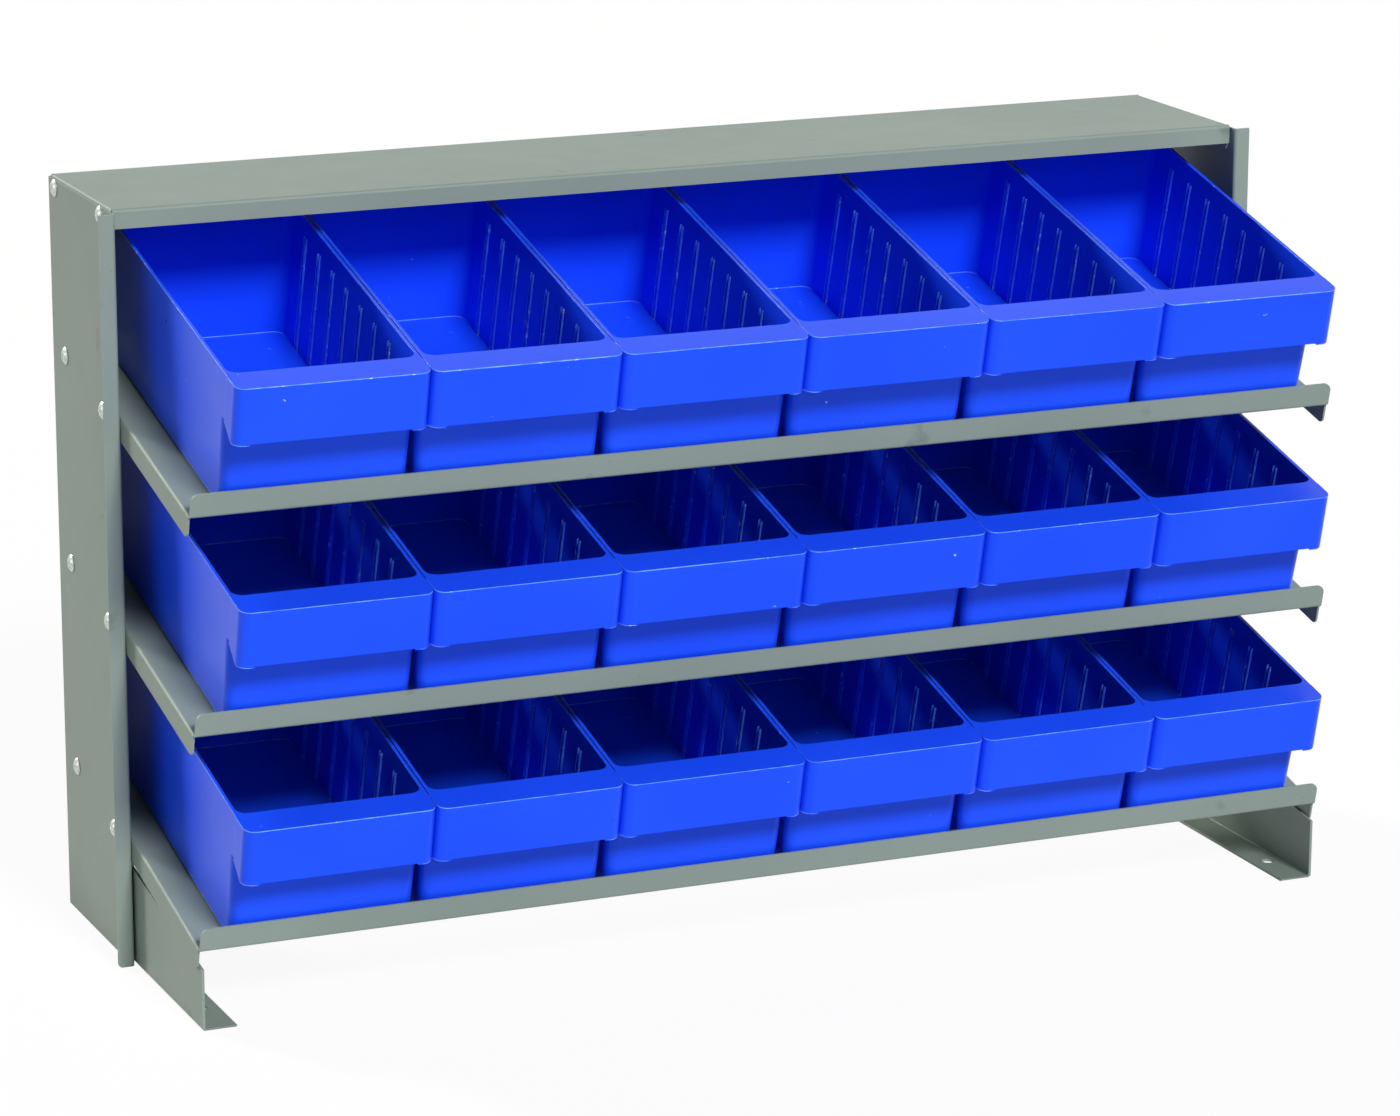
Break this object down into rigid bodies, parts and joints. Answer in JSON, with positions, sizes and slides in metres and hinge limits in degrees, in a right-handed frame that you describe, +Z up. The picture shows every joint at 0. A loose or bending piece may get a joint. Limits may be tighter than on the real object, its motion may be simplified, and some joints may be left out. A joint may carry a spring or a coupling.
{
  "type": "bin rack",
  "caption": "Free-standing sheet-steel rack with sloping lipped shelves that carry rows of open hopper-front plastic bins for small parts.",
  "frame": {"origin": "on the floor, in the middle of the rack's bounding box", "axes": "+X to the viewer's right along the shelves, the open front faces -Y, +Z up"},
  "size_m": [0.9144, 0.3608, 0.556],
  "materials": {
    "painted_steel": "semi-gloss grey enamel",
    "zinc_plated_steel": "bright zinc plate",
    "blue_plastic": "moulded, low gloss"
  },
  "bodies": {
    "rack": {"side_panel_left": "painted_steel", "side_panel_right": "painted_steel", "top_cover": "painted_steel", "shelf_bottom": "painted_steel", "shelf_middle": "painted_steel", "shelf_top": "painted_steel", "foot_left": "painted_steel", "foot_right": "painted_steel", "cover_screws": "zinc_plated_steel", "cover_nuts": "zinc_plated_steel", "shelf_bottom_screws": "zinc_plated_steel", "shelf_bottom_nuts": "zinc_plated_steel", "shelf_middle_screws": "zinc_plated_steel", "shelf_middle_nuts": "zinc_plated_steel", "shelf_top_screws": "zinc_plated_steel", "shelf_top_nuts": "zinc_plated_steel"},
    "bin_bottom_1": {"bin_bottom_1": "blue_plastic"},
    "bin_bottom_2": {"bin_bottom_2": "blue_plastic"},
    "bin_bottom_3": {"bin_bottom_3": "blue_plastic"},
    "bin_bottom_4": {"bin_bottom_4": "blue_plastic"},
    "bin_bottom_5": {"bin_bottom_5": "blue_plastic"},
    "bin_bottom_6": {"bin_bottom_6": "blue_plastic"},
    "bin_middle_1": {"bin_middle_1": "blue_plastic"},
    "bin_middle_2": {"bin_middle_2": "blue_plastic"},
    "bin_middle_3": {"bin_middle_3": "blue_plastic"},
    "bin_middle_4": {"bin_middle_4": "blue_plastic"},
    "bin_middle_5": {"bin_middle_5": "blue_plastic"},
    "bin_middle_6": {"bin_middle_6": "blue_plastic"},
    "bin_top_1": {"bin_top_1": "blue_plastic"},
    "bin_top_2": {"bin_top_2": "blue_plastic"},
    "bin_top_3": {"bin_top_3": "blue_plastic"},
    "bin_top_4": {"bin_top_4": "blue_plastic"},
    "bin_top_5": {"bin_top_5": "blue_plastic"},
    "bin_top_6": {"bin_top_6": "blue_plastic"}
  },
  "joints": [
    {"name": "bin_bottom_1_tilt", "type": "hinge", "parent": "rack", "child": "bin_bottom_1", "pos_m": [-0.35321, 0.12522, 0.12481], "axis": [-1, 0, 0], "range_deg": [0, 8]},
    {"name": "bin_bottom_2_tilt", "type": "hinge", "parent": "rack", "child": "bin_bottom_2", "pos_m": [-0.21193, 0.12522, 0.12481], "axis": [-1, 0, 0], "range_deg": [0, 8]},
    {"name": "bin_bottom_3_tilt", "type": "hinge", "parent": "rack", "child": "bin_bottom_3", "pos_m": [-0.07064, 0.12522, 0.12481], "axis": [-1, 0, 0], "range_deg": [0, 8]},
    {"name": "bin_bottom_4_tilt", "type": "hinge", "parent": "rack", "child": "bin_bottom_4", "pos_m": [0.07064, 0.12522, 0.12481], "axis": [-1, 0, 0], "range_deg": [0, 8]},
    {"name": "bin_bottom_5_tilt", "type": "hinge", "parent": "rack", "child": "bin_bottom_5", "pos_m": [0.21193, 0.12522, 0.12481], "axis": [-1, 0, 0], "range_deg": [0, 8]},
    {"name": "bin_bottom_6_tilt", "type": "hinge", "parent": "rack", "child": "bin_bottom_6", "pos_m": [0.35321, 0.12522, 0.12481], "axis": [-1, 0, 0], "range_deg": [0, 8]},
    {"name": "bin_middle_1_tilt", "type": "hinge", "parent": "rack", "child": "bin_middle_1", "pos_m": [-0.35321, 0.12522, 0.28056], "axis": [-1, 0, 0], "range_deg": [0, 8]},
    {"name": "bin_middle_2_tilt", "type": "hinge", "parent": "rack", "child": "bin_middle_2", "pos_m": [-0.21193, 0.12522, 0.28056], "axis": [-1, 0, 0], "range_deg": [0, 8]},
    {"name": "bin_middle_3_tilt", "type": "hinge", "parent": "rack", "child": "bin_middle_3", "pos_m": [-0.07064, 0.12522, 0.28056], "axis": [-1, 0, 0], "range_deg": [0, 8]},
    {"name": "bin_middle_4_tilt", "type": "hinge", "parent": "rack", "child": "bin_middle_4", "pos_m": [0.07064, 0.12522, 0.28056], "axis": [-1, 0, 0], "range_deg": [0, 8]},
    {"name": "bin_middle_5_tilt", "type": "hinge", "parent": "rack", "child": "bin_middle_5", "pos_m": [0.21193, 0.12522, 0.28056], "axis": [-1, 0, 0], "range_deg": [0, 8]},
    {"name": "bin_middle_6_tilt", "type": "hinge", "parent": "rack", "child": "bin_middle_6", "pos_m": [0.35321, 0.12522, 0.28056], "axis": [-1, 0, 0], "range_deg": [0, 8]},
    {"name": "bin_top_1_tilt", "type": "hinge", "parent": "rack", "child": "bin_top_1", "pos_m": [-0.35321, 0.12522, 0.43631], "axis": [-1, 0, 0], "range_deg": [0, 8]},
    {"name": "bin_top_2_tilt", "type": "hinge", "parent": "rack", "child": "bin_top_2", "pos_m": [-0.21193, 0.12522, 0.43631], "axis": [-1, 0, 0], "range_deg": [0, 8]},
    {"name": "bin_top_3_tilt", "type": "hinge", "parent": "rack", "child": "bin_top_3", "pos_m": [-0.07064, 0.12522, 0.43631], "axis": [-1, 0, 0], "range_deg": [0, 8]},
    {"name": "bin_top_4_tilt", "type": "hinge", "parent": "rack", "child": "bin_top_4", "pos_m": [0.07064, 0.12522, 0.43631], "axis": [-1, 0, 0], "range_deg": [0, 8]},
    {"name": "bin_top_5_tilt", "type": "hinge", "parent": "rack", "child": "bin_top_5", "pos_m": [0.21193, 0.12522, 0.43631], "axis": [-1, 0, 0], "range_deg": [0, 8]},
    {"name": "bin_top_6_tilt", "type": "hinge", "parent": "rack", "child": "bin_top_6", "pos_m": [0.35321, 0.12522, 0.43631], "axis": [-1, 0, 0], "range_deg": [0, 8]}
  ]
}
